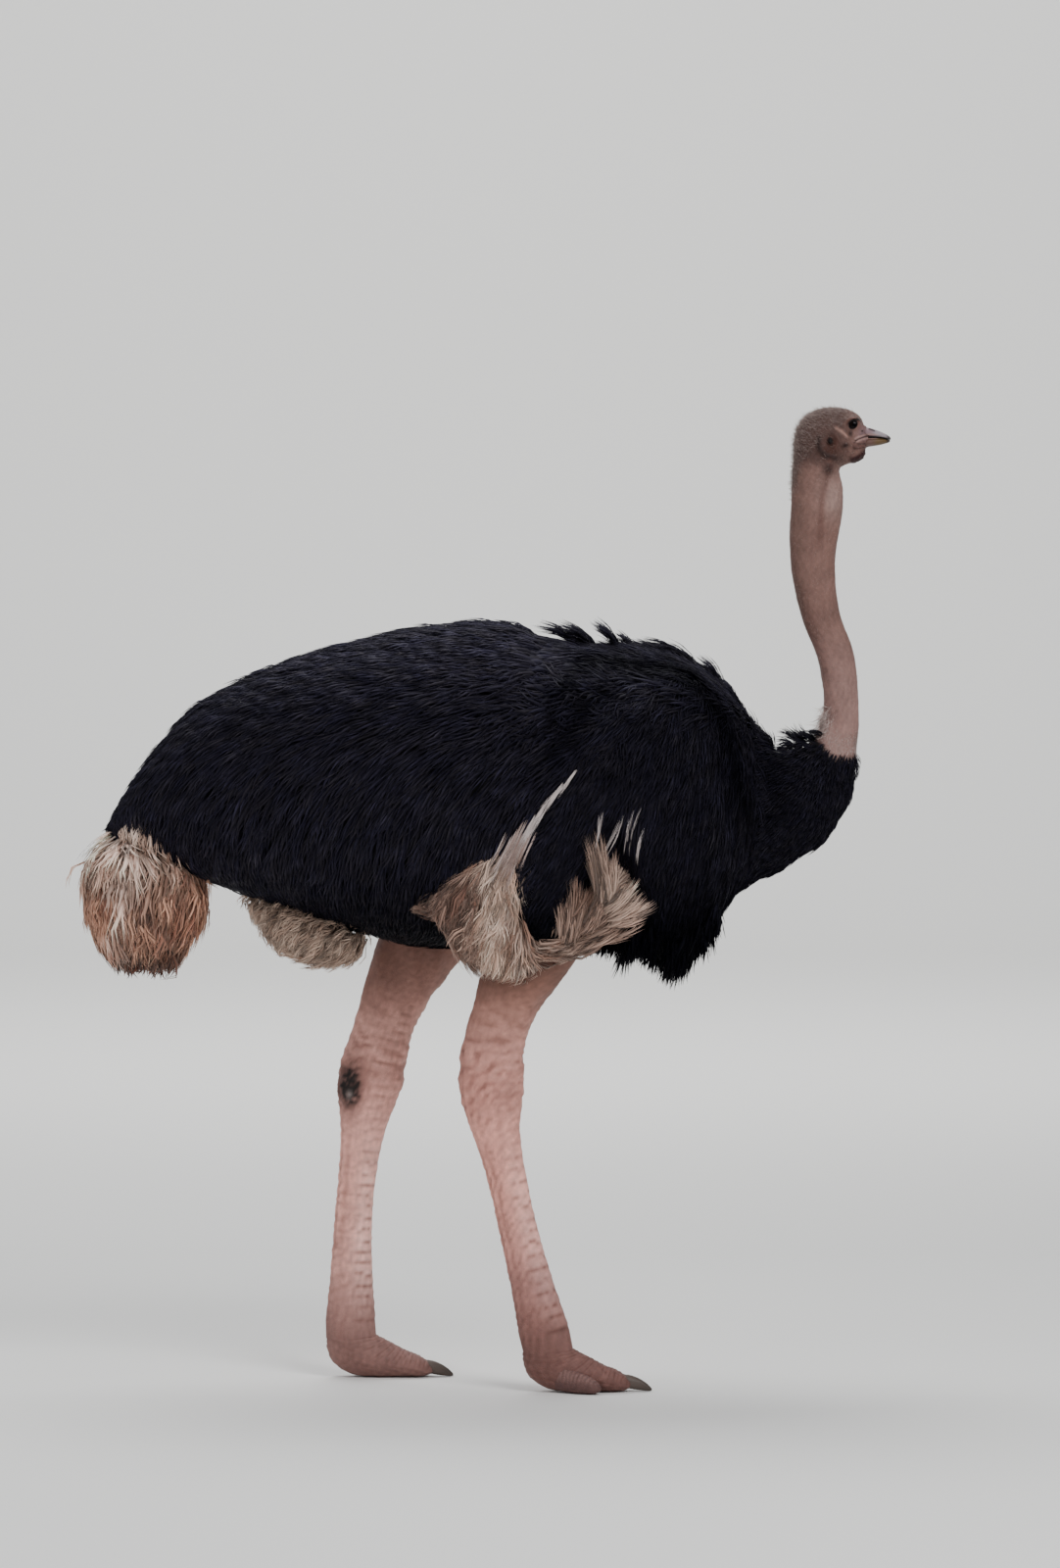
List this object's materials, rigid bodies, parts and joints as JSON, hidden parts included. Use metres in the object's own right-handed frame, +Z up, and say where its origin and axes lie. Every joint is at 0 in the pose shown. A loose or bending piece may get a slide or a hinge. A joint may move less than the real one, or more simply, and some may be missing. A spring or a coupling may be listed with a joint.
{
  "type": "ostrich figure",
  "caption": "Life-size standing ostrich: a bare S-curved neck and legs, a broad plumed body with drooping wings and tail, and toes with flat soles that rest on the floor.",
  "frame": {"origin": "on the floor, in the bird's middle plane, halfway between the tip of the bill and the back of the tail", "axes": "+X towards the bill, +Y to the bird's left, +Z up from the floor"},
  "size_m": [1.7351, 0.6008, 2.0975],
  "materials": {
    "black_plumage": "soft black feathers",
    "pale_plumage": "loose pale plumes",
    "tail_plumage": "loose buff-brown plumes",
    "bare_skin": "bare wrinkled skin, scaly on the legs",
    "horn": "smooth horn",
    "eyeball": "wet dark eye"
  },
  "bodies": {
    "root": {"trunk": "black_plumage", "neck_lower": "black_plumage", "wing_l": "black_plumage", "wing_r": "black_plumage", "wing_rear_lobe_l": "black_plumage", "wing_rear_lobe_r": "black_plumage", "plumes_l": "pale_plumage", "plumes_r": "pale_plumage", "vent_down": "pale_plumage", "tail": "tail_plumage", "neck_upper": "bare_skin", "head": "bare_skin", "ear_l": "bare_skin", "ear_r": "bare_skin", "thigh_l": "bare_skin", "thigh_r": "bare_skin", "shank_l": "bare_skin", "shank_r": "bare_skin", "middle_toe_l": "bare_skin", "middle_toe_r": "bare_skin", "outer_toe_l": "bare_skin", "outer_toe_r": "bare_skin", "claw_l": "horn", "claw_r": "horn", "upper_bill": "horn", "lower_bill": "horn", "eye_l": "eyeball", "eye_r": "eyeball"}
  },
  "joints": []
}
